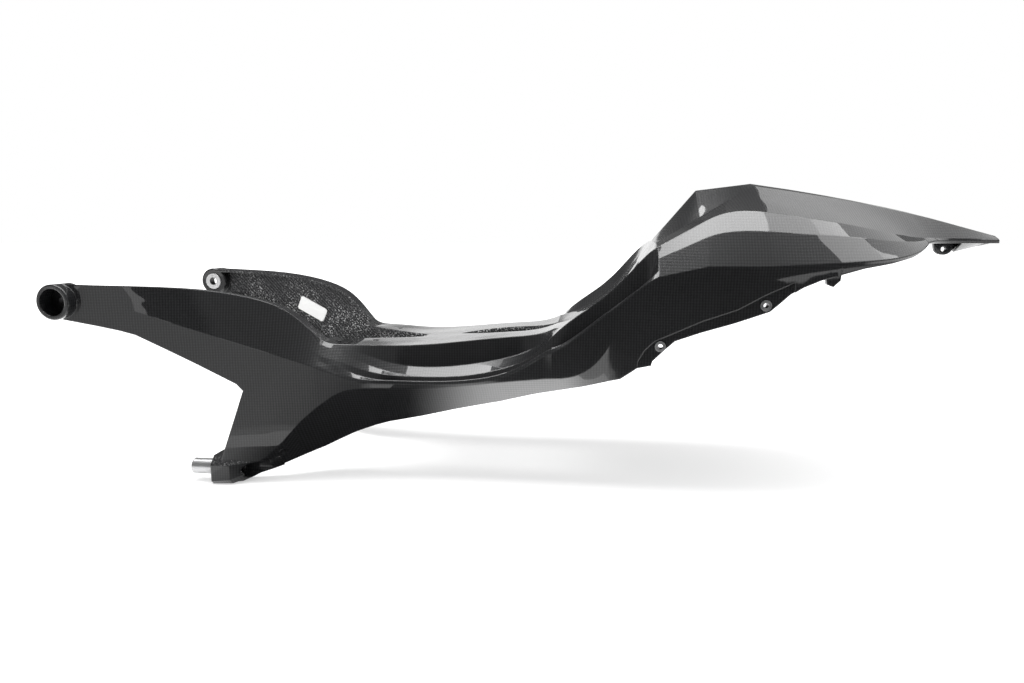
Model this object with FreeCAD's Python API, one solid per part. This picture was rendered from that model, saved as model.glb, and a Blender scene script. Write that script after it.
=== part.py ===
import FreeCAD, Part
import os
from math import atan2, cos, sin
from FreeCAD import Vector

# Self-supporting motorcycle tail fairing in one carbon moulding, millimetres.
# X runs rearwards, Y to the rider's right, Z up. The origin is midway between
# the two front eyes on their common axis. One side is built and mirrored.

# Laminate
WALL = 2.6
RETURN_DEPTH = 13.0
BEAD_HEIGHT = 3.0
BULGE = 1.5
INNER_EDGE_DROP = 3.5 * WALL

# Front eyes, each a moulded tube with an aluminium bush at its inner end
EYE_OUTER_FACE = 136.0
EYE_LENGTH = 22.0
EYE_RADIUS = 15.0
EYE_BORE_RADIUS = 11.5
EYE_RIM = 1.0
EYE_WEB = 6.0
BUSH_RADIUS = 9.0
BUSH_FLANGE_THICKNESS = 2.5
BUSH_STAND_OUT = 1.0
BUSH_HOLE_RADIUS = 4.2
BUSH_FLANGE_CLEARANCE = 0.5

# Lower feet, each a solid block with an aluminium sleeve that points forward. The block
# tapers down and inwards to its rear end, and a shallow round dimple lies behind it.
FOOT_HALF_SPAN = 96.0
FOOT_AXIS_Z = -151.0
FOOT_FRONT_X = 114.0
FOOT_LENGTH = 58.0
FOOT_WIDTH = 24.0
FOOT_ABOVE_AXIS = 12.0
FOOT_BELOW_AXIS = 13.0
FOOT_CHAMFER = 7.0
SLEEVE_RADIUS = 7.0
SLEEVE_STAND_OUT = 22.0
SLEEVE_GRIP = 22.0
SLEEVE_HOLE_RADIUS = 4.2
FOOT_POCKET_RADIUS = 8.2
FOOT_POCKET_LENGTH = 28.0
FOOT_REAR_WIDTH = 8.0
FOOT_REAR_RISE = 17.0
DIMPLE_X = 175.0
DIMPLE_Z = -136.5
DIMPLE_RADIUS = 7.0
DIMPLE_DEPTH = 1.5

# Seat deck, with the open front between the arms and a slim opening behind the bridge
SEAT_HOLE_RADIUS = 3.0
SEAT_HOLES = [(218.0, 58.0), (247.0, 40.0)]
SEAT_OPENING_HALF_WIDTH = 44.0
SEAT_OPENING_APEX_X = 286.0
SEAT_OPENING_APEX_RADIUS = 10.0
SLOT_CENTRE_X = 368.0
SLOT_LENGTH = 96.0
SLOT_WIDTH = 34.0

# Flanged inserts along the lower rear edge of each side, in the recess for the undertray
INSERT_PLACES = [(503.3, -34.5), (583.7, 0.7)]
RECESS_DEPTH = 1.2
INSERT_BODY_RADIUS = 3.3
INSERT_FLANGE_RADIUS = 4.4
INSERT_FLANGE_THICKNESS = 1.0
INSERT_HOLE_RADIUS = 2.1
INSERT_LENGTH = 9.0

# Lugs for the undertray: one under the tip and one inside each lower edge
LUG_THICKNESS = 4.0
LUG_RADIUS = 8.0
LUG_HOLE_RADIUS = 2.2
TIP_LUG_X = 753.0
TIP_LUG_Z = 46.0
TIP_LUG_HOLE_DROP = 3.0
SIDE_LUG_X = 633.0
SIDE_LUG_REACH = 5.0
KEEL_START = 762.0
KEEL_DEPTH = 8.0
TIP_RIM = 48.4

LOFT_DEGREE = 3

# Ends of the stretches in which the shell is lofted
ARM_START = 2.0
DECK_START = 209.0
RAMP_START = 414.0
WAIST = 462.0
COWL_START = 500.0
BROW = 538.0
SUMMIT = 586.0
TIP_START = 722.0
NOSE_START = 776.0
TIP_END = 794.0

# Where the dish, the beads, the scoop and the bulge of the hump's side fade in and out
DISH_IN = (232.0, 290.0)
DISH_OUT = (395.0, RAMP_START)
BEADS_IN = (235.0, 262.0)
BEADS_OUT = (440.0, COWL_START)
SCOOP_IN = (405.0, 440.0)
SCOOP_OUT = (488.0, COWL_START)
BULGE_IN = (COWL_START, 540.0)
BULGE_OUT = (668.0, TIP_START)

# Feature lines of the outer surface: distance behind the eyes, half width, height.
# A point right on the cowl's start, brow or summit is a corner of its line.
RIDGE = [
    (DECK_START, 0, -40.0), (247, 0, -41.8), (279, 0, -42.7), (318, 0, -40.0),
    (358, 0, -36.0), (395, 0, -33.0), (RAMP_START, 0, -28.0), (432, 0, -23.0),
    (450, 0, -11.5), (470, 0, 5.0), (487, 0, 28.0), (COWL_START, 0, 50.0),
    (BROW, 0, 95.0), (SUMMIT, 0, 100.7), (640, 0, 92.0), (TIP_START, 0, 75.0), (TIP_END, 0, 54.8),
]
DECK_EDGE = [
    (ARM_START, 126.5, 14.9), (35, 122.8, 13.9), (98, 108.4, 10.8), (137, 97.8, 5.6),
    (157, 92.0, 0.6), (172, 87.3, -5.0), (184, 83.7, -12.3), (196, 80.0, -23.2),
    (DECK_START, 75.5, -36.8), (219, 73.0, -40.8), (247, 68.0, -41.8), (279, 62.0, -42.7),
    (318, 58.0, -40.0), (358, 54.0, -36.0), (395, 51.0, -32.5), (RAMP_START, 51.0, -26.5),
    (432, 56.0, -21.5), (450, 60.0, -9.5), (470, 62.0, 7.0), (487, 58.0, 29.0),
    (COWL_START, 49.0, 48.5), (SUMMIT, 14.0, 98.0), (640, 11.0, 90.0), (TIP_START, 8.0, 73.5),
    (TIP_END, 2.0, 54.5),
]
CREST = [
    (DECK_START, 85.3, -48.6), (222, 83.6, -53.4), (235, 82.0, -57.6), (246, 81.0, -61.5),
    (257, 79.5, -65.5),
    (296, 75.5, -67.7), (335, 74.0, -66.4), (361, 74.0, -61.7), (380, 74.5, -55.9),
    (395, 75.0, -48.5), (404, 75.5, -40.9), (RAMP_START, 76.0, -30.0), (426, 74.0, -18.9),
    (454, 73.0, 1.9), (470, 75.0, 16.0), (485, 77.0, 33.3), (499, 77.5, 45.5),
    (508, 75.0, 51.0), (526, 71.0, 60.5), (541, 69.5, 68.5), (551, 69.0, 72.6),
    (566, 69.0, 75.0), (588, 69.5, 73.7), (612, 69.0, 70.3), (660, 61.0, 62.6),
    (695, 47.0, 56.4), (TIP_START, 33.0, 53.6), (744, 21.0, 52.6), (TIP_END, 8.0, 52.2),
]
OUTER = [
    (ARM_START, 128.0, -1.0), (57, 118.9, -7.5), (98, 112.0, -21.3), (207, 93.5, -57.9),
    (228, 90.1, -66.0), (249, 87.0, -72.6), (298, 83.0, -73.5), (336, 82.0, -72.0), (362, 82.0, -68.0),
    (381, 83.0, -61.2), (400, 84.0, -50.3), (421, 86.0, -38.9), (443, 88.0, -21.2),
    (471, 91.0, 1.0), (491, 94.0, 17.0), (508, 96.0, 26.0), (524, 97.5, 30.0),
    (545, 99.0, 31.3), (562, 99.5, 31.3), (622, 97.0, 33.5), (660, 89.0, 35.6),
    (690, 78.0, 38.5), (708, 64.0, 43.0), (TIP_START, 45.0, 49.5), (736, 29.0, 50.8),
    (750, 20.0, 50.9), (TIP_END, 10.0, 50.9),
]
BEVEL = [
    (ARM_START, 122.6, -272.0), (151, 100.8, -147.0), (162, 99.2, -140.0), (173, 97.6, -130.0),
    (184, 96.0, -118.0), (195, 94.5, -106.0), (213, 91.9, -91.0), (230, 89.3, -80.5),
    (249, 86.4, -77.6), (287, 82.6, -77.5), (326, 81.0, -75.5), (348, 81.0, -72.8),
    (370, 82.0, -70.0), (404, 84.0, -66.0), (438, 87.0, -62.0), (450, 87.6, -49.0),
    (WAIST, 88.0, -35.0), (475, 88.6, -22.0), (490, 89.8, -11.0), (COWL_START, 90.8, -5.0),
    (524, 93.5, 5.0), (562, 96.6, 15.0), (622, 95.9, 28.0), (660, 88.0, 32.5),
    (690, 76.5, 36.5), (708, 62.5, 38.0), (TIP_START, 44.5, 42.0), (736, 28.5, 42.0),
    (750, 19.5, 41.0), (TIP_END, 9.8, 40.0),
]

# Lower panel under the bevel: distance behind the eyes, inward lean, height of its foot
LOWER_PANEL = [
    (ARM_START, 0.70, -306.0), (157, 0.70, -190.0), (229, 0.70, -140.0), (268, 0.75, -125.0),
    (300, 0.80, -116.0), (336, 0.90, -108.0), (380, 1.00, -99.0), (430, 1.00, -85.0),
    (450, 0.45, -80.0), (WAIST, 0.20, -76.0), (475, 0.05, -70.0), (491, 0.0, -64.0),
    (524, 0.0, -46.0), (562, 0.0, -26.0), (622, 0.0, 6.0), (660, 0.0, 15.0),
    (TIP_START, 0.0, 28.0), (TIP_END, 0.0, 28.0),
]

# Side outline of the lower edge, front to rear: distance behind the eyes, height
LOWER_OUTLINE_ARM = [
    (-20.0, -14.0), (1.0, -15.2), (31.0, -21.5), (48.0, -25.4), (60.0, -29.0),
    (83.0, -41.0), (110.0, -55.5), (141.0, -73.0),
]
LOWER_OUTLINE_LEG = [
    (146.0, -79.0), (137.0, -104.0), (128.0, -128.5), (122.0, -145.0), (122.0, -163.0),
    (139.0, -163.0), (153.0, -157.0), (168.4, -151.0), (203.9, -138.1), (231.5, -125.4),
    (250.2, -118.6), (262.7, -115.0),
]
LOWER_OUTLINE_TAIL = [
    (294.1, -108.4), (326.3, -100.4), (366.8, -91.9), (396.8, -83.0), (441.5, -72.5),
    (471.6, -63.6), (481.0, -56.5), (484.6, -53.7), (496.3, -50.9), (497.4, -47.1),
    (507.4, -36.8), (514.8, -29.8), (534.3, -22.3), (560.0, -14.0), (587.0, -4.2), (594.0, 2.0),
    (602.0, 9.6), (611.0, 15.2), (624.0, 20.7), (641.0, 25.3), (658.0, 29.8), (681.0, 33.6),
    (700.0, 38.0), (712.0, 43.0), (TIP_START, 48.4), (TIP_END + 5.0, TIP_RIM),
]

STATIONS_ARM = [ARM_START, 57, 98, 130, 157, 172, 184, 196, DECK_START]
STATIONS_DECK = [DECK_START, 220, 232, 250, 268, 295, 335, 362, 382, 398, RAMP_START]
STATIONS_RAMP = [RAMP_START, 427, 444, WAIST]
STATIONS_WAIST = [WAIST, 475, 488, COWL_START]
STATIONS_FACE = [COWL_START, BROW]
STATIONS_BROW = [BROW, 552, 568, SUMMIT]
STATIONS_BACK = [SUMMIT, 622, 660, 695, TIP_START]
STATIONS_TIP = [TIP_START, 736, 750, NOSE_START, TIP_END]

CORNERS = (COWL_START, BROW, SUMMIT)

# Side outline of the recess for the undertray's flange, open at the lower edge
RECESS_OUTLINE = [
    (483.0, -75.0), (485.6, -47.4), (491.0, -38.0), (498.5, -30.5), (536.0, -12.5), (562.0, -3.0),
    (584.0, 9.5), (604.0, 19.0), (612.0, -75.0),
]
STATIONS_RECESS = [481, 491, 505, 530, 562, 590, 614]


def rail(points, x):
    """Half width and height of a feature line at x: a monotone cubic, straight into corners."""
    if x <= points[0][0]:
        return points[0][1], points[0][2]
    if x >= points[-1][0]:
        return points[-1][1], points[-1][2]
    index = max(i for i in range(len(points) - 1) if points[i][0] <= x)
    x0, x1 = points[index][0], points[index + 1][0]
    t = (x - x0) / (x1 - x0)
    result = []
    for axis in (1, 2):
        slopes = [
            (points[i + 1][axis] - points[i][axis]) / (points[i + 1][0] - points[i][0])
            for i in range(len(points) - 1)
        ]

        def tangent(i):
            if i == 0:
                return slopes[0]
            if i == len(points) - 1:
                return slopes[-1]
            if points[i][0] in CORNERS:
                return slopes[index]
            before, after = slopes[i - 1], slopes[i]
            if before * after <= 0:
                return 0.0
            return 2 * before * after / (before + after)

        step = x1 - x0
        value = (
            (2 * t**3 - 3 * t**2 + 1) * points[index][axis]
            + (t**3 - 2 * t**2 + t) * step * tangent(index)
            + (3 * t**2 - 2 * t**3) * points[index + 1][axis]
            + (t**3 - t**2) * step * tangent(index + 1)
        )
        result.append(value)
    return result[0], result[1]


def hem_point(x):
    """Foot of the lower panel at x."""
    bevel = rail(BEVEL, x)
    lean, height = rail(LOWER_PANEL, x)
    return bevel[0] - lean * (bevel[1] - height), height


def between(a, b, share):
    return a[0] + (b[0] - a[0]) * share, a[1] + (b[1] - a[1]) * share


def ramped(x, start, end):
    """0 before start, 1 after end, smooth between."""
    t = min(max((x - start) / (end - start), 0.0), 1.0)
    return t * t * (3 - 2 * t)


def upper_line(x):
    """Points of the outer surface from the top edge to the crest of the upper bead."""
    deck = rail(DECK_EDGE, x)
    outer = rail(OUTER, x)
    if x < DECK_START:
        crest = between(deck, outer, 0.55)
        wall = between(deck, crest, 0.33)
        dish = between(deck, crest, 0.66)
        return deck, wall, dish, crest
    crest = rail(CREST, x)
    flat_wall = between(deck, crest, 0.33)
    flat_dish = between(deck, crest, 0.66)
    dished = ramped(x, *DISH_IN) * (1 - ramped(x, *DISH_OUT))
    low = crest[1] - 0.5 * BEAD_HEIGHT
    deep_wall = (deck[0] + 2.5, deck[1] + 0.72 * (low - deck[1]))
    deep_dish = (crest[0] - 5.0, low)
    wall = between(flat_wall, deep_wall, dished)
    dish = between(flat_dish, deep_dish, dished)
    return deck, wall, dish, crest


def lower_line(x, crest):
    """Points of the outer surface from the gutter under the crest to the hem."""
    outer = rail(OUTER, x)
    bevel = rail(BEVEL, x)
    hem = hem_point(x)
    flat_gutter = between(crest, outer, 0.4)
    flat_bead = between(crest, outer, 0.8)
    beaded = ramped(x, *BEADS_IN) * (1 - ramped(x, *BEADS_OUT))
    scooped = ramped(x, *SCOOP_IN) * (1 - ramped(x, *SCOOP_OUT))
    bead_gutter = (flat_gutter[0] - 0.6 * BEAD_HEIGHT, flat_gutter[1] - 0.9 * BEAD_HEIGHT)
    bead_top = (flat_bead[0] + 0.3 * BEAD_HEIGHT, flat_bead[1] + 0.6 * BEAD_HEIGHT)
    gutter = between(flat_gutter, bead_gutter, beaded)
    bead = between(flat_bead, bead_top, beaded)
    scoop_foot = (crest[0] + 2.0, outer[1] - 5.0)
    scoop_rim = (outer[0] - 3.0, outer[1] + 1.0)
    gutter = between(gutter, scoop_foot, scooped)
    bead = between(bead, scoop_rim, scooped)
    bulge = BULGE * ramped(x, *BULGE_IN) * (1 - ramped(x, *BULGE_OUT))
    gutter = (gutter[0] + bulge, gutter[1] + bulge)
    return gutter, bead, outer, bevel, hem


def outer_line(x):
    """The outer surface at x, as named points from the deck edge down to the hem."""
    deck, wall, dish, crest = upper_line(x)
    gutter, bead, outer, bevel, hem = lower_line(x, crest)
    return {
        "deck": deck, "wall": wall, "dish": dish, "crest": crest, "gutter": gutter,
        "bead": bead, "outer": outer, "bevel": bevel, "hem": hem,
    }


def inward(line, depth):
    """The line moved inwards by depth, square to its own direction at each point."""
    moved = []
    for i, point in enumerate(line):
        before = line[max(i - 1, 0)]
        after = line[min(i + 1, len(line) - 1)]
        normals = []
        for a, b in ((before, point), (point, after)):
            length = ((b[0] - a[0]) ** 2 + (b[1] - a[1]) ** 2) ** 0.5
            if length > 1e-6:
                normals.append(((b[1] - a[1]) / length, -(b[0] - a[0]) / length))
        nx = sum(n[0] for n in normals)
        nz = sum(n[1] for n in normals)
        size = (nx * nx + nz * nz) ** 0.5
        nx, nz = nx / size, nz / size
        lean = max(nx * normals[0][0] + nz * normals[0][1], 0.75)
        moved.append((point[0] + nx * depth / lean, point[1] + nz * depth / lean))
    return moved


def skin_lines(x, top, straight=()):
    """Outer and inner line of the skin at x, without the points of its straight runs.

    The inside smooths over the beads and the sharp lower edge.
    """
    line = {name: point for name, point in outer_line(x).items() if name not in straight}
    smoothed = "bead" if straight else ("crest", "bead")
    guide = {name: point for name, point in line.items() if name not in smoothed}
    missing = INNER_EDGE_DROP - (line["outer"][1] - line["bevel"][1])
    if missing > 0:
        run = line["hem"][0] - line["bevel"][0], line["hem"][1] - line["bevel"][1]
        share = missing / (run[0] ** 2 + run[1] ** 2) ** 0.5
        guide["bevel"] = between(line["bevel"], line["hem"], share)
    outside = [top] + list(line.values())
    inside = inward([top] + list(guide.values()), WALL)
    return outside, inside


def section(x, points):
    """A closed flat wire at x through (half width, height) points."""
    corners = [Vector(x, w, z) for w, z in points]
    corners.append(corners[0])
    return Part.makePolygon(corners)


def arm_section(x):
    """Thin channel: an inner lip along the top, open towards the middle."""
    deck = rail(DECK_EDGE, x)
    slope = (deck[1] - RIDGE[0][2]) / rail(DECK_EDGE, DECK_START)[0]
    lip = (deck[0] - RETURN_DEPTH, deck[1] - max(min(slope, 0.1), 0.0) * RETURN_DEPTH)
    outside, inside = skin_lines(x, lip, ("wall", "dish", "gutter", "bead"))
    inside[0] = (lip[0], lip[1] - WALL)
    return section(x, outside + inside[::-1])


def body_section(x, straight=()):
    """Thin half section from the middle plane down to the hem."""
    ridge = rail(RIDGE, x)
    deck = rail(DECK_EDGE, x)
    outside, inside = skin_lines(x, ridge, straight)
    slope = atan2(ridge[1] - deck[1], deck[0])
    inside[0] = (0.0, ridge[1] - WALL / max(cos(slope), 0.6))
    return section(x, outside + inside[::-1])


def tip_section(x, filled=False):
    """Thin roof with a plain rim, or the core that closes its last stretch."""
    ridge = rail(RIDGE, x)
    outer = rail(OUTER, x)
    rim = (outer[0] - 0.5, rail(LOWER_PANEL, x)[1])
    outside = [ridge, rail(DECK_EDGE, x), rail(CREST, x), outer, rim]
    if filled:
        core = inward(outside, 0.5 * WALL)
        core[0] = (0.0, ridge[1] - 0.6 * WALL)
        return section(x, core + [(0.0, rim[1])])
    inside = inward(outside, WALL)
    inside[0] = (0.0, ridge[1] - 1.2 * WALL)
    return section(x, outside + inside[::-1])


def loft(sections):
    """Smooth solid through closed sections."""
    return Part.makeLoft(sections, True, False, False, LOFT_DEGREE)


def outline_face():
    """Side view of the moulding, closed far above, as a face in the XZ plane."""
    points = LOWER_OUTLINE_ARM + LOWER_OUTLINE_LEG + LOWER_OUTLINE_TAIL
    points = points + [(TIP_END + 5.0, 130.0), (-20.0, 130.0), points[0]]
    return Part.Face(Part.makePolygon([Vector(x, 0, z) for x, z in points]))


def body_lofts():
    """The body in stretches; the points that lie in line there are left out."""
    on_cowl = ("wall", "dish", "bead")
    stretches = [
        (STATIONS_DECK, ()), (STATIONS_RAMP, ("wall", "dish")), (STATIONS_WAIST, ("wall", "dish")),
        (STATIONS_FACE, on_cowl), (STATIONS_BROW, on_cowl), (STATIONS_BACK, on_cowl),
    ]
    return [loft([body_section(x, straight) for x in stations]) for stations, straight in stretches]


def half_shell():
    """Right half of the skin, trimmed to the side outline."""
    lofts = [loft([arm_section(x) for x in STATIONS_ARM])]
    lofts.extend(body_lofts())
    lofts.append(loft([tip_section(x) for x in STATIONS_TIP]))
    lofts.append(loft([tip_section(NOSE_START, True), tip_section(TIP_END, True)]))
    trim = outline_face().extrude(Vector(0, 200, 0))
    skin = lofts[0].common(trim)
    for piece in lofts[1:]:
        skin = skin.fuse(piece.common(trim))
    return skin


def return_flange():
    """Inward flange along the lower edge of the arm and both edges of the leg."""
    def band_section(x):
        line = list(outer_line(x).values())[2:]
        outside = [(w - 0.5 * WALL, z) for w, z in line]
        inside = [(w - RETURN_DEPTH, z) for w, z in line]
        return section(x, outside + inside[::-1])

    arm = [ARM_START + EYE_RADIUS] + STATIONS_ARM[1:]
    bands = [loft([band_section(x) for x in stations]) for stations in (arm, STATIONS_DECK)]
    face = outline_face()
    inner = Part.Face(face.OuterWire.makeOffset2D(-WALL, join=2))
    ribbon = face.cut(inner).extrude(Vector(0, 200, 0))
    return [band.common(ribbon) for band in bands]


def eye(bored=False):
    """Front eye: a tube along Y, or the bores that open it."""
    inner_face = EYE_OUTER_FACE - EYE_LENGTH
    across = Vector(0, 1, 0)
    if bored:
        deep = Part.makeCylinder(EYE_BORE_RADIUS, 100, Vector(0, inner_face + EYE_WEB, 0), across)
        seat = Part.makeCylinder(BUSH_RADIUS, 100, Vector(0, inner_face - 50, 0), across)
        return deep.fuse(seat)
    tube = Part.makeCylinder(EYE_RADIUS, EYE_LENGTH, Vector(0, inner_face, 0), across)
    rims = [e for e in tube.Edges if abs(e.BoundBox.YMin - e.BoundBox.YMax) < 1e-6]
    return tube.makeChamfer(EYE_RIM, rims)


def foot():
    """Foot block with a chamfered shoulder, tapering back into the leg."""
    def foot_section(x, width, above, below, lower_chamfer):
        inner = FOOT_HALF_SPAN - 0.5 * FOOT_WIDTH
        outer = inner + width
        top = FOOT_AXIS_Z + above
        bottom = FOOT_AXIS_Z - below
        return section(x, [
            (inner, bottom), (outer - lower_chamfer, bottom),
            (outer, bottom + lower_chamfer), (outer, top - FOOT_CHAMFER),
            (outer - FOOT_CHAMFER, top), (inner, top),
        ])

    middle = FOOT_FRONT_X + 0.3 * FOOT_LENGTH
    rear = FOOT_FRONT_X + FOOT_LENGTH
    return Part.makeLoft([
        foot_section(FOOT_FRONT_X, FOOT_WIDTH, FOOT_ABOVE_AXIS, FOOT_BELOW_AXIS, 3.0),
        foot_section(middle, FOOT_WIDTH, FOOT_ABOVE_AXIS, FOOT_BELOW_AXIS, 5.0),
        foot_section(rear, FOOT_REAR_WIDTH, FOOT_REAR_RISE, 0.0, FOOT_REAR_WIDTH - 0.5),
    ], True, True)


def foot_bores():
    """Seat for the sleeve, and the pocket behind it for the bolt."""
    along = Vector(1, 0, 0)
    start = Vector(FOOT_FRONT_X - 10, FOOT_HALF_SPAN, FOOT_AXIS_Z)
    seat = Part.makeCylinder(SLEEVE_RADIUS, SLEEVE_GRIP + 10, start, along)
    behind = Vector(FOOT_FRONT_X + SLEEVE_GRIP, FOOT_HALF_SPAN, FOOT_AXIS_Z)
    pocket = Part.makeCylinder(FOOT_POCKET_RADIUS, FOOT_POCKET_LENGTH, behind, along)
    return seat.fuse(pocket)


def foot_dimple():
    """Ball that sinks the round dimple into the leg behind the foot."""
    place, out = skin_at(DIMPLE_X, DIMPLE_Z)
    return Part.makeSphere(DIMPLE_RADIUS, place + out * (DIMPLE_RADIUS - DIMPLE_DEPTH))


def seat_opening():
    """Plan of the open front between the two deck flanges, with a round apex."""
    half = SEAT_OPENING_HALF_WIDTH
    radius = SEAT_OPENING_APEX_RADIUS
    centre = SEAT_OPENING_APEX_X - radius
    lean = atan2(half - radius, centre - DECK_START)
    touch = Vector(centre + radius * sin(lean), radius * cos(lean), 0)
    front = Vector(DECK_START - 30, touch.y + (touch.x - DECK_START + 30) * sin(lean) / cos(lean), 0)
    apex = Vector(SEAT_OPENING_APEX_X, 0, 0)
    mirrored = [Vector(v.x, -v.y, 0) for v in (touch, front)]
    edges = [
        Part.makeLine(front, touch), Part.Arc(touch, apex, mirrored[0]).toShape(),
        Part.makeLine(mirrored[0], mirrored[1]), Part.makeLine(mirrored[1], front),
    ]
    face = Part.Face(Part.Wire(edges))
    face.translate(Vector(0, 0, -70))
    return face.extrude(Vector(0, 0, 50))


def deck_slot():
    """Plan of the slim opening behind the bridge, pointed at both ends."""
    ends = [Vector(SLOT_CENTRE_X + k * 0.5 * SLOT_LENGTH, 0, -70) for k in (-1, 1)]
    sides = [Vector(SLOT_CENTRE_X, k * 0.5 * SLOT_WIDTH, -70) for k in (-1, 1)]
    edges = [
        Part.Arc(ends[0], sides[0], ends[1]).toShape(),
        Part.Arc(ends[1], sides[1], ends[0]).toShape(),
    ]
    return Part.Face(Part.Wire(edges)).extrude(Vector(0, 0, 60))


def skin_at(x, z):
    """Point and outward direction on the lower panel at x and height z, right side."""
    def width(at):
        bevel = rail(BEVEL, at)
        return bevel[0] - rail(LOWER_PANEL, at)[0] * (bevel[1] - z)

    slope = 0.5 * (width(x + 1) - width(x - 1))
    out = Vector(-slope, 1, -rail(LOWER_PANEL, x)[0])
    return Vector(x, width(x), z), out.normalize()


def recess():
    """Joggle of the lower rear edge: what it takes off outside and adds inside."""
    def strip(x, outer_side, inner_side):
        bevel, hem = rail(BEVEL, x), hem_point(x)
        return section(x, [
            (bevel[0] + outer_side, bevel[1]), (hem[0] + outer_side, hem[1]),
            (hem[0] + inner_side, hem[1]), (bevel[0] + inner_side, bevel[1]),
        ])

    corners = [Vector(x, 0, z) for x, z in RECESS_OUTLINE + RECESS_OUTLINE[:1]]
    region = Part.Face(Part.makePolygon(corners)).extrude(Vector(0, 200, 0))
    depth = RECESS_DEPTH
    taken = loft([strip(x, WALL, -depth) for x in STATIONS_RECESS]).common(region)
    added = loft([strip(x, -depth - 0.3 * WALL, -depth - WALL) for x in STATIONS_RECESS])
    trim = outline_face().extrude(Vector(0, 200, 0))
    return taken, added.common(region).common(trim)


def insert_seat_place(x, z):
    """Place on the recessed panel where an insert's flange rests, and its outward direction."""
    place, out = skin_at(x, z)
    return place - out * RECESS_DEPTH, out


def side_insert(x, z):
    """Flanged aluminium insert, seated on the outside of the lower panel."""
    place, out = insert_seat_place(x, z)
    root = place - out * (INSERT_LENGTH - INSERT_FLANGE_THICKNESS)
    body = Part.makeCylinder(INSERT_BODY_RADIUS, INSERT_LENGTH, root, out)
    flange = Part.makeCylinder(INSERT_FLANGE_RADIUS, INSERT_FLANGE_THICKNESS, place, out)
    hole = Part.makeCylinder(INSERT_HOLE_RADIUS, INSERT_LENGTH + 2, root - out, out)
    return body.fuse(flange).cut(hole)


def insert_seat(x, z):
    """Hole in the panel for an insert, with a flat spot under its flange."""
    place, out = insert_seat_place(x, z)
    hole = Part.makeCylinder(INSERT_BODY_RADIUS, 3 * WALL, place - out * 2 * WALL, out)
    spot = Part.makeCylinder(INSERT_FLANGE_RADIUS + 0.4, WALL, place, out)
    return hole.fuse(spot)


def bush():
    """Top hat bush of the right eye: its flange lies on the floor of the deep bore."""
    inner_face = EYE_OUTER_FACE - EYE_LENGTH
    across = Vector(0, 1, 0)
    start = Vector(0, inner_face - BUSH_STAND_OUT, 0)
    length = EYE_WEB + BUSH_STAND_OUT
    body = Part.makeCylinder(BUSH_RADIUS, length, start, across)
    flange_radius = EYE_BORE_RADIUS - BUSH_FLANGE_CLEARANCE
    floor = Vector(0, inner_face + EYE_WEB, 0)
    flange = Part.makeCylinder(flange_radius, BUSH_FLANGE_THICKNESS, floor, across)
    hole = Part.makeCylinder(BUSH_HOLE_RADIUS, 100, Vector(0, inner_face - 50, 0), across)
    return body.fuse(flange).cut(hole)


def sleeve():
    """Sleeve of the right foot, standing out in front of the block."""
    along = Vector(1, 0, 0)
    start = Vector(FOOT_FRONT_X - SLEEVE_STAND_OUT, FOOT_HALF_SPAN, FOOT_AXIS_Z)
    length = SLEEVE_STAND_OUT + SLEEVE_GRIP
    tube = Part.makeCylinder(SLEEVE_RADIUS, length, start, along)
    ends = [e for e in tube.Edges if abs(e.BoundBox.XMax - start.x) < 1e-6]
    tube = tube.makeChamfer(0.8, ends)
    return tube.cut(Part.makeCylinder(SLEEVE_HOLE_RADIUS, length + 2, start - along, along))


def keel():
    """Right half of the shallow wedge that closes the tip from below."""
    def keel_section(x, depth):
        rim_width = rail(OUTER, x)[0] - 0.5 * WALL
        return section(x, [
            (0.0, TIP_RIM - depth), (rim_width, TIP_RIM + 0.5), (rim_width, TIP_RIM + WALL),
            (0.0, TIP_RIM - depth + WALL),
        ])

    return loft([keel_section(KEEL_START, KEEL_DEPTH), keel_section(TIP_END - 4, 0.5)])


def tip_lug():
    """Lug on the middle plane, from the roof to a half-round end under the rim."""
    middle = Vector(TIP_LUG_X, -0.5 * LUG_THICKNESS, TIP_LUG_Z)
    across = Vector(0, 1, 0)
    disc = Part.makeCylinder(LUG_RADIUS, LUG_THICKNESS, middle, across)
    roof = rail(RIDGE, TIP_LUG_X + LUG_RADIUS)[1] - 0.5 * WALL
    corner = middle - Vector(LUG_RADIUS, 0, 0)
    web = Part.makeBox(2 * LUG_RADIUS, LUG_THICKNESS, roof - TIP_LUG_Z, corner)
    start = middle - Vector(0, LUG_THICKNESS, TIP_LUG_HOLE_DROP)
    hole = Part.makeCylinder(LUG_HOLE_RADIUS, 3 * LUG_THICKNESS, start, across)
    return disc.fuse(web), hole


def side_lug():
    """Short pointed lug that hangs below the lower edge, inside the skin."""
    width = rail(BEVEL, SIDE_LUG_X)[0] - WALL - LUG_THICKNESS
    edge = [z for x, z in LOWER_OUTLINE_TAIL if x < SIDE_LUG_X][-1]
    corners = [(-6, 10), (7, 10), (6, 0), (1, -SIDE_LUG_REACH), (-4, -0.6 * SIDE_LUG_REACH)]
    points = [Vector(SIDE_LUG_X + dx, width, edge + dz) for dx, dz in corners]
    points.append(points[0])
    return Part.Face(Part.makePolygon(points)).extrude(Vector(0, LUG_THICKNESS + 0.5 * WALL, 0))


def mirrored(shape):
    return shape.mirror(Vector(0, 0, 0), Vector(0, 1, 0))


def tail_shell():
    """The one-piece moulding."""
    half = half_shell()
    taken, added = recess()
    for piece in [eye(), foot()] + return_flange() + [keel(), side_lug(), added]:
        half = half.fuse(piece)
    cuts = [eye(bored=True), foot_bores(), foot_dimple(), taken]
    for x, y in SEAT_HOLES:
        cuts.append(Part.makeCylinder(SEAT_HOLE_RADIUS, 30, Vector(x, y, -58)))
    for x, z in INSERT_PLACES:
        cuts.append(insert_seat(x, z))
    half = half.cut(cuts)
    lug, lug_hole = tip_lug()
    whole = half.fuse(mirrored(half)).fuse(lug)
    return whole.cut([seat_opening(), deck_slot(), lug_hole])


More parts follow.
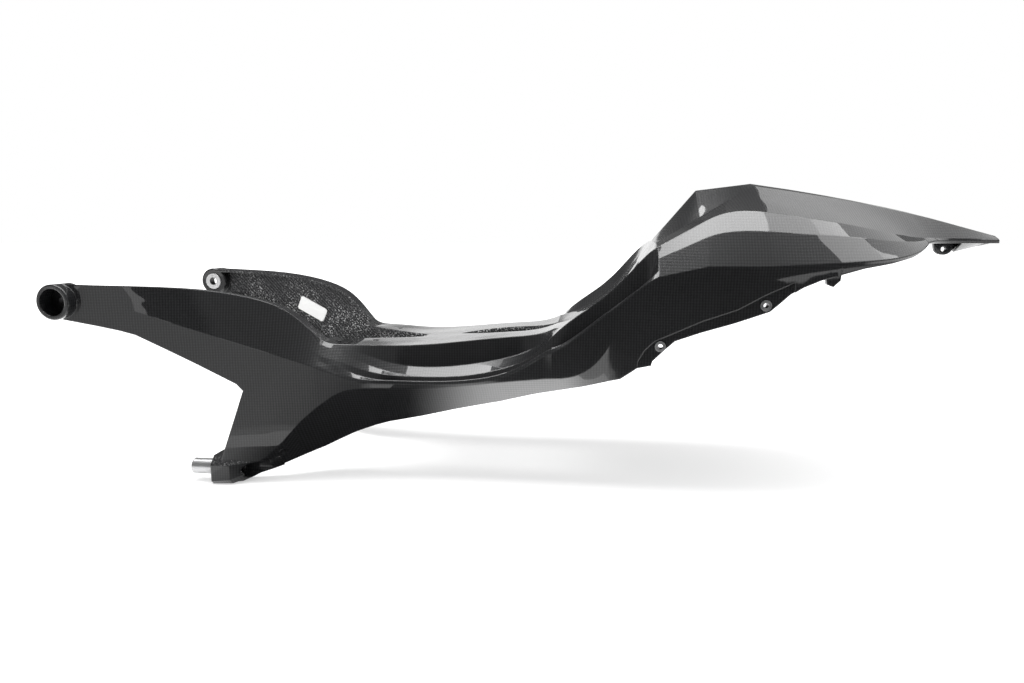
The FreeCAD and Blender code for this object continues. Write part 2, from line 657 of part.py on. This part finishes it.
def export(name, shape):
    shape.exportStep(f"parts/{name}.step")
    print(name, shape.isValid(), len(shape.Solids), round(shape.Volume))


def main():
    os.makedirs("parts", exist_ok=True)
    export("tail_shell", tail_shell())
    inserts = [side_insert(x, z) for x, z in INSERT_PLACES]
    groups = {"eye_bushes": [bush()], "foot_sleeves": [sleeve()], "side_inserts": inserts}
    for name, right in groups.items():
        export(name, Part.makeCompound(right + [mirrored(each) for each in right]))


main()
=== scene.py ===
from math import cos, pi, radians, sin

import bpy
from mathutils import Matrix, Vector


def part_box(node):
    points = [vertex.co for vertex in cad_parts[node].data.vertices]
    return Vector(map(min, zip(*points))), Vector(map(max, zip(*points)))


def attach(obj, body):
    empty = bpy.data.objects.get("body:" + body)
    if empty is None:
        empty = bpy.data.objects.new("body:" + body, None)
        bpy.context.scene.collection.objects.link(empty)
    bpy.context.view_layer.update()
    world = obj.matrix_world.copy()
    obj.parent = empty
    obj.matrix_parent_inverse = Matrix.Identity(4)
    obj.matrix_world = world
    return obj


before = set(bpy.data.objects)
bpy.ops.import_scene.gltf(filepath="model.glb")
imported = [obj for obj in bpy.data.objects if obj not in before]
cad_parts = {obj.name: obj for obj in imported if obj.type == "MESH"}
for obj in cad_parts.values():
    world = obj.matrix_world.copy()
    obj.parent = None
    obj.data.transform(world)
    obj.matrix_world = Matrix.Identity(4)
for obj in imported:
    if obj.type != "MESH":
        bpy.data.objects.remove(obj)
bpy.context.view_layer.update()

# Camera, from the photograph's perspective: it looks down and turns left by so many degrees
CAMERA_PLACE = (0.45257, -0.66564, 0.05968)
CAMERA_DOWN = 9.05
CAMERA_TURN = 7.08
CAMERA_LENS = 24.61
SENSOR_WIDTH = 36.0

# Weave: one period is two tows
OUTER_PERIOD = 0.0023
INNER_PERIOD = 0.0044
WEAVE_STRAY = 0.0008

# Cloth by place: it is glossy on the eyes, and the arms' top lips end at the seat deck
EYE_REAR = 0.0155
CLOTH_START = 0.0165
LIP_FADE = 0.200
LIP_END = 0.215
ARM_LOW = -0.045
ARM_TOP = 0.004

# Rounding that the moulding and the metal parts show at their edges
SHELL_EDGE = 0.0016
METAL_EDGE = 0.0004

OUTER_DARK = (0.0032, 0.0033, 0.0036, 1)
OUTER_BRIGHT = (0.0150, 0.0154, 0.0165, 1)
INNER_DARK = (0.010, 0.010, 0.0105, 1)
INNER_BRIGHT = (0.075, 0.076, 0.078, 1)
# White of the painted glints (painted highlights) on the inner cloth
GLINT_WHITE = (0.75, 0.75, 0.75, 1)
LIP_COLOUR = (0.012, 0.012, 0.013, 1)
# Painted shade on the metal parts, in corners and in bores
METAL_SHADE = (0.025, 0.025, 0.026, 1)
PAPER_DARK = (0.88, 0.88, 0.87, 1)
PAPER_BRIGHT = (0.95, 0.95, 0.94, 1)
TABLE_WHITE = (0.55, 0.55, 0.55, 1)
# Black of the gloss-only cards: painted dark reflections
CARD_BLACK = (0.002, 0.002, 0.002, 1)
WHITE = (1, 1, 1, 1)

# Metal parts: bores, the feet's axes and where the eye bush ends inside its eye; shade is painted inside
# the bores and on that end of the bush
BORE_RADIUS = 0.0042
FOOT_HALF_SPAN = 0.096
FOOT_DEPTH = 0.151
BUSH_INNER = 0.1185
BUSH_OUTER = 0.1195

# Blank paper label on the inner face of the right arm: middle, size, fall towards the rear
LABEL_MIDDLE = (0.125, -0.0300)
LABEL_SIZE = (0.036, 0.0165)
LABEL_CORNER = 0.002
LABEL_FALL = 26.0
LABEL_LIFT = 0.0003
LABEL_THICKNESS = 0.0002
LABEL_COLUMNS = 24
LABEL_ROWS = 12

# Table: it glows more from one distance to the other, so that it has no visible end
FLOOR_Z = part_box("tail_shell")[0].z
FLOOR_REACH = (-9.0, 10.0, -9.0, 10.0)
FLOOR_MIDDLE_X = 0.4
FLOOR_NEAR = 0.6
FLOOR_FAR = 3.0
CARD_LIFT = 0.0006

# Light that only matt surfaces get from all around
FILL_LIGHT = 0.9


class Graph:
    """Short names for the nodes of one material or of the world."""

    def __init__(self, owner):
        owner.use_nodes = True
        self.made = owner
        self.nodes = owner.node_tree.nodes
        self.links = owner.node_tree.links
        self.coord = self.nodes.new("ShaderNodeTexCoord").outputs

    def feed(self, socket, value):
        if hasattr(value, "is_output"):
            self.links.new(value, socket)
        else:
            socket.default_value = value

    def give(self, **values):
        """Feed the main shader's sockets, named with _ for a space."""
        for name, value in values.items():
            self.feed(self.nodes["Principled BSDF"].inputs[name.replace("_", " ")], value)

    def math(self, operation, *values):
        node = self.nodes.new("ShaderNodeMath")
        node.operation = operation
        for socket, value in zip(node.inputs, values):
            self.feed(socket, value)
        return node.outputs[0]

    def length(self, u, v):
        return self.math("SQRT", self.math("ADD", self.math("MULTIPLY", u, u), self.math("MULTIPLY", v, v)))

    def split(self, vector):
        node = self.nodes.new("ShaderNodeSeparateXYZ")
        self.links.new(vector, node.inputs[0])
        return node.outputs

    def ramp(self, value, low, high, to_low=0.0, to_high=1.0):
        node = self.nodes.new("ShaderNodeMapRange")
        node.interpolation_type = "SMOOTHSTEP"
        for socket, each in zip(node.inputs, (value, low, high, to_low, to_high)):
            self.feed(socket, each)
        return node.outputs[0]

    def mix(self, share, low, high):
        node = self.nodes.new("ShaderNodeMix")
        for index, value in ((0, share), (2, low), (3, high)):
            self.feed(node.inputs[index], value)
        return node.outputs[0]

    def colours(self, share, low, high):
        node = self.nodes.new("ShaderNodeMix")
        node.data_type = "RGBA"
        for index, value in ((0, share), (6, low), (7, high)):
            self.feed(node.inputs[index], value)
        return node.outputs[2]

    def noise(self, scale, detail=2.0):
        node = self.nodes.new("ShaderNodeTexNoise")
        node.inputs["Scale"].default_value = scale
        node.inputs["Detail"].default_value = detail
        self.links.new(self.coord["Object"], node.inputs["Vector"])
        return node.outputs["Fac"]

    def rings(self, value, scale):
        """Noise along one direction, as turning leaves it."""
        node = self.nodes.new("ShaderNodeTexNoise")
        node.noise_dimensions = "1D"
        node.inputs["Scale"].default_value = scale
        self.links.new(value, node.inputs["W"])
        return node.outputs["Fac"]

    def wave(self, value, period):
        turned = self.math("MULTIPLY", value, 2 * pi / period)
        return self.math("MULTIPLY_ADD", self.math("COSINE", turned), 0.5, 0.5)

    def rounded(self, radius):
        node = self.nodes.new("ShaderNodeBevel")
        node.samples = 6
        node.inputs["Radius"].default_value = radius
        return node.outputs["Normal"]

    def bump(self, height, distance, normal=None):
        node = self.nodes.new("ShaderNodeBump")
        node.inputs["Distance"].default_value = distance
        node.inputs["Strength"].default_value = 1.0
        self.links.new(height, node.inputs["Height"])
        if normal is not None:
            self.links.new(normal, node.inputs["Normal"])
        return node.outputs["Normal"]


def material(name):
    return Graph(bpy.data.materials.new(name))


def cloth_axes(g, x, y, z, nx, nz):
    """Along and across the cloth at each point: it runs rearwards and hangs over the form."""
    lying = g.math("GREATER_THAN", g.math("ABSOLUTE", nz), 0.72)
    frontal = g.math("GREATER_THAN", g.math("ABSOLUTE", nx), 0.6)
    stray = g.math("MULTIPLY_ADD", g.noise(38.0), 2 * WEAVE_STRAY, -WEAVE_STRAY)
    along = g.math("ADD", g.mix(frontal, x, y), stray)
    across = g.math("ADD", g.mix(frontal, g.mix(lying, z, y), z), stray)
    return along, across


def outer_cloth(g, along, across):
    """Tone and relief of the plain weave: tows along and across, brighter where they lie on top."""
    warp = g.wave(along, OUTER_PERIOD)
    weft = g.wave(across, OUTER_PERIOD)
    crossing = g.math("MULTIPLY", g.math("SUBTRACT", warp, 0.5), g.math("SUBTRACT", weft, 0.5))
    tone = g.math("MULTIPLY_ADD", warp, 0.6, g.math("MULTIPLY", weft, 0.3))
    tone = g.math("ADD", tone, g.math("MULTIPLY", crossing, 0.25))
    patch = g.noise(11.0, 3.0)
    tone = g.math("MULTIPLY_ADD", g.math("SUBTRACT", patch, 0.5), 0.5, tone)
    height = g.math("ADD", g.math("MULTIPLY", warp, 0.6), g.math("MULTIPLY", weft, 0.4))
    return tone, height


def inner_cloth(g, along, across, z):
    """Colour and relief of the coarse twill, with white spots that are painted glints of light on the bare
    resin, denser lower down.
    """
    twill = g.math("PINGPONG", g.math("DIVIDE", g.math("ADD", along, across), INNER_PERIOD), 0.5)
    rib = g.wave(g.math("SUBTRACT", along, across), 0.5 * INNER_PERIOD)
    weave = g.math("MULTIPLY", g.math("MULTIPLY", twill, 2.0), g.math("MULTIPLY_ADD", rib, 0.5, 0.5))
    grain = g.noise(640.0, 3.0)
    glint_density = g.ramp(g.noise(34.0), 0.35, 0.65, 0.25, 1.0)
    glint_density = g.math("MULTIPLY", glint_density, g.ramp(z, ARM_LOW, ARM_TOP, 1.15, 0.45))
    # Painted highlights: white spots of colour stand in for glints of light on the bare resin
    painted_glints = g.math("MULTIPLY", g.ramp(grain, 0.54, 0.66), glint_density)
    colour = g.colours(weave, INNER_DARK, INNER_BRIGHT)
    colour = g.colours(g.math("MULTIPLY", painted_glints, 0.75), colour, GLINT_WHITE)
    height = g.math("ADD", g.math("MULTIPLY", weave, 0.6), g.math("MULTIPLY", grain, 0.5))
    return colour, height


def carbon():
    """Clear-coated weave outside, uncoated cloth with painted glints inside."""
    g = material("carbon_weave")
    x, y, z = g.split(g.coord["Object"])
    nx, ny, nz = g.split(g.coord["Normal"])
    along, across = cloth_axes(g, x, y, z, nx, nz)

    # Inner faces look towards the middle or down; so do the arms' thin top lips
    side = g.math("MULTIPLY", ny, g.math("SIGN", y))
    inwards = g.math("MULTIPLY", g.ramp(side, -0.30, -0.45), g.ramp(nz, 0.55, 0.40))
    under = g.math("MULTIPLY", g.ramp(nz, -0.35, -0.55), g.ramp(side, 0.35, 0.20))
    lip = g.math("MULTIPLY", g.ramp(nz, 0.60, 0.75), g.ramp(x, LIP_END, LIP_FADE))
    hidden = g.math("MAXIMUM", g.math("MAXIMUM", inwards, under), lip)
    inside = g.math("MULTIPLY", hidden, g.ramp(x, EYE_REAR, CLOTH_START))

    tone, weave_height = outer_cloth(g, along, across)
    inner_colour, rough_height = inner_cloth(g, along, across, z)
    outer_colour = g.colours(tone, OUTER_DARK, OUTER_BRIGHT)
    inner_colour = g.colours(lip, inner_colour, LIP_COLOUR)
    gloss = g.math("MULTIPLY_ADD", tone, -0.10, 0.42)
    edge = g.rounded(SHELL_EDGE)
    relief = g.mix(inside, g.math("MULTIPLY", weave_height, 0.12), rough_height)
    g.give(
        Base_Color=g.colours(inside, outer_colour, inner_colour),
        Roughness=g.mix(inside, gloss, 0.62),
        Specular_IOR_Level=0.2,
        Normal=g.bump(relief, 0.0009, edge),
        Coat_Weight=g.mix(inside, 1.0, 0.0),
        Coat_Roughness=0.02,
        Coat_Normal=g.bump(g.noise(16.0, 1.0), 0.0010, edge),
    )
    return g.made


def aluminium(name, tint, axis=None):
    """Satin aluminium with the fine marks of turning, and painted shade that darkens its colour in corners,
    inside its bores and on the eye bushes' ends inside the eyes.

    The axis is "Y" through the eyes, "X" through the feet, None where neither passes.
    """
    g = material(name)
    x, y, z = g.split(g.coord["Object"])
    if axis == "Y":
        reach = g.length(x, z)
    else:
        aside = g.math("SUBTRACT", g.math("ABSOLUTE", y), FOOT_HALF_SPAN)
        reach = g.length(aside, g.math("ADD", z, FOOT_DEPTH))
    marks = g.rings(g.math("ADD", reach, x) if axis == "X" else reach, 2600.0)
    # Painted shade: the colour goes dark in corners (ambient occlusion), inside the bores and on the eye
    # bush's end in its eye
    shade = g.nodes.new("ShaderNodeAmbientOcclusion")
    shade.samples = 6
    shade.inputs["Distance"].default_value = 0.008
    unshaded = g.ramp(shade.outputs["AO"], 0.30, 0.80)
    if axis:
        unshaded = g.math("MULTIPLY", unshaded, g.ramp(reach, BORE_RADIUS + 0.0001, BORE_RADIUS + 0.0004))
    if axis == "Y":
        unshaded = g.math("MULTIPLY", unshaded, g.ramp(g.math("ABSOLUTE", y), BUSH_OUTER, BUSH_INNER))
    grey, pale = (tint, tint, 1.01 * tint, 1), (1.2 * tint, 1.2 * tint, 1.21 * tint, 1)
    g.give(
        Base_Color=g.colours(unshaded, METAL_SHADE, g.colours(marks, grey, pale)),
        Roughness=g.math("MULTIPLY_ADD", marks, 0.16, 0.30),
        Metallic=1.0,
        Normal=g.bump(marks, 0.00003, g.rounded(METAL_EDGE)),
    )
    return g.made


def paper():
    g = material("blank_paper")
    fibre = g.noise(900.0, 4.0)
    soft = g.noise(45.0)
    tone = g.math("MULTIPLY_ADD", fibre, 0.5, g.math("MULTIPLY", soft, 0.5))
    g.give(
        Base_Color=g.colours(tone, PAPER_DARK, PAPER_BRIGHT),
        Roughness=0.45,
        Normal=g.bump(fibre, 0.00003),
    )
    return g.made


def dress(node, made):
    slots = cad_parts[node].data.materials
    slots.clear()
    slots.append(made)


def put_in_scene(name, data):
    placed = bpy.data.objects.new(name, data)
    bpy.context.scene.collection.objects.link(placed)
    return placed


def label():
    """Paper label laid on the right arm's inner face, point by point."""
    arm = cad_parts["tail_shell"]
    width, height = LABEL_SIZE
    fall = radians(LABEL_FALL)
    points, faces = [], []
    for row in range(LABEL_ROWS + 1):
        v = (row / LABEL_ROWS - 0.5) * height
        pinch = max(abs(v) - (0.5 * height - LABEL_CORNER), 0.0)
        half = 0.5 * width - LABEL_CORNER + (LABEL_CORNER**2 - pinch**2) ** 0.5
        for column in range(LABEL_COLUMNS + 1):
            u = (column / LABEL_COLUMNS - 0.5) * 2 * half
            x = LABEL_MIDDLE[0] + u * cos(fall) + v * sin(fall)
            z = LABEL_MIDDLE[1] - u * sin(fall) + v * cos(fall)
            place, normal = arm.ray_cast(Vector((x, 0.0, z)), Vector((0, 1, 0)))[1:3]
            points.append(place + normal * LABEL_LIFT)
    stride = LABEL_COLUMNS + 1
    for row in range(LABEL_ROWS):
        for column in range(LABEL_COLUMNS):
            first = row * stride + column
            faces.append((first, first + 1, first + stride + 1, first + stride))
    mesh = bpy.data.meshes.new("paper_label")
    mesh.from_pydata(points, [], faces)
    mesh.polygons.foreach_set("use_smooth", [True] * len(faces))
    mesh.materials.append(paper())
    piece = put_in_scene("paper_label", mesh)
    thick = piece.modifiers.new("paper", "SOLIDIFY")
    thick.thickness = LABEL_THICKNESS
    thick.offset = 0
    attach(piece, "root")


def sheet(name, x0, x1, y0, y1, lift=0.0):
    """Flat matt sheet on the floor that belongs to the studio."""
    z = FLOOR_Z + lift
    mesh = bpy.data.meshes.new(name)
    mesh.from_pydata([(x0, y0, z), (x1, y0, z), (x1, y1, z), (x0, y1, z)], [], [(0, 1, 2, 3)])
    plane = put_in_scene(name, mesh)
    g = material(name)
    g.give(Roughness=0.9, Specular_IOR_Level=0.0, Emission_Color=WHITE)
    mesh.materials.append(g.made)
    return plane, g


def floor():
    """White table that grows paler with distance, so that it has no visible end."""
    g = sheet("white_floor", *FLOOR_REACH)[1]
    x, y = g.split(g.coord["Object"])[:2]
    away = g.length(g.math("SUBTRACT", x, FLOOR_MIDDLE_X), y)
    g.give(Base_Color=TABLE_WHITE, Emission_Strength=g.ramp(away, FLOOR_NEAR, FLOOR_FAR, 0.45, 1.1))


def gloss_card(name, x0, x1, y0, y1, glows):
    """Card that only shows in the gloss and paints dark and bright reflections: black, with a glow that
    fades along x (0) or along y (1).
    """
    card, g = sheet(name, x0, x1, y0, y1, CARD_LIFT)
    card.visible_camera = False
    card.visible_diffuse = False
    card.visible_shadow = False
    g.made.cycles.emission_sampling = "NONE"
    place = g.split(g.coord["Object"])
    glow = 0.0
    for axis, low, high, to_low, to_high in glows:
        glow = g.math("MAXIMUM", glow, g.ramp(place[axis], low, high, to_low, to_high))
    g.give(Base_Color=CARD_BLACK, Emission_Strength=glow)


def studio():
    """White backdrop, with a dim room above it and behind the camera."""
    world = bpy.data.worlds.new("studio")
    bpy.context.scene.world = world
    g = Graph(world)
    rearwards, high = g.split(g.coord["Generated"])[1:]
    near_room = g.ramp(high, 0.13, 0.20, 0.02, 0.25)
    room = g.ramp(high, 0.70, 0.88, near_room, 0.35)
    backdrop = g.ramp(high, 0.12, 0.20, 1.1, 0.14)
    light = g.ramp(rearwards, -0.12, 0.05, room, backdrop)
    rays = g.nodes.new("ShaderNodeLightPath").outputs
    sky = g.nodes["Background"]
    g.feed(sky.inputs["Color"], g.math("MULTIPLY_ADD", rays["Is Diffuse Ray"], FILL_LIGHT, light))
    plain = g.nodes.new("ShaderNodeBackground")
    plain.inputs["Color"].default_value = WHITE
    choice = g.nodes.new("ShaderNodeMixShader")
    for socket, value in zip(choice.inputs, (rays["Is Camera Ray"], sky.outputs[0], plain.outputs[0])):
        g.feed(socket, value)
    g.feed(g.nodes["World Output"].inputs["Surface"], choice.outputs[0])


def ceiling_light(name, place, width, depth, power):
    """Soft light that faces straight down."""
    light = bpy.data.lights.new(name, "AREA")
    light.shape = "RECTANGLE"
    light.size = width
    light.size_y = depth
    light.energy = power
    put_in_scene(name, light).location = place


dress("tail_shell", carbon())
dress("eye_bushes", aluminium("turned_bushes", 0.78, "Y"))
dress("foot_sleeves", aluminium("turned_sleeves", 0.50, "X"))
dress("side_inserts", aluminium("turned_inserts", 0.42))
label()

floor()
# Painted dark reflection: black in front of the part, which the sides mirror as a dim room; it glows nearer
# the part and at the left
gloss_card("front", -1.6, 3.0, -3.0, -0.24, [(0, 0.12, 0.30, 0.8, 0.0), (1, -0.30, -0.25, 0.0, 1.1)])
# Painted shadow and highlight in the reflections: black under the leg stands in for the floor's shadow
# there, with a glow at the front end and a strong glow towards the rear that stands in for the bright table
# the underside mirrors
gloss_card("under_body", 0.10, 0.46, -0.20, 0.06, [(0, 0.10, 0.16, 1.1, 0.0), (0, 0.27, 0.36, 0.0, 3.0)])
studio()
ceiling_light("overhead", (0.15, -0.015, 1.35), 1.6, 0.87, 35)
ceiling_light("overhead_side", (1.35, -0.015, 1.35), 0.8, 0.87, 8)
ceiling_light("overhead_rear", (1.85, 0.95, 1.36), 1.3, 1.7, 7)

lens = bpy.data.cameras.new("camera")
lens.lens = CAMERA_LENS
lens.sensor_width = SENSOR_WIDTH
camera = put_in_scene("camera", lens)
camera.location = CAMERA_PLACE
camera.rotation_euler = (radians(90 - CAMERA_DOWN), 0, radians(CAMERA_TURN))
bpy.context.scene.camera = camera
bpy.context.scene.view_settings.view_transform = "Standard"
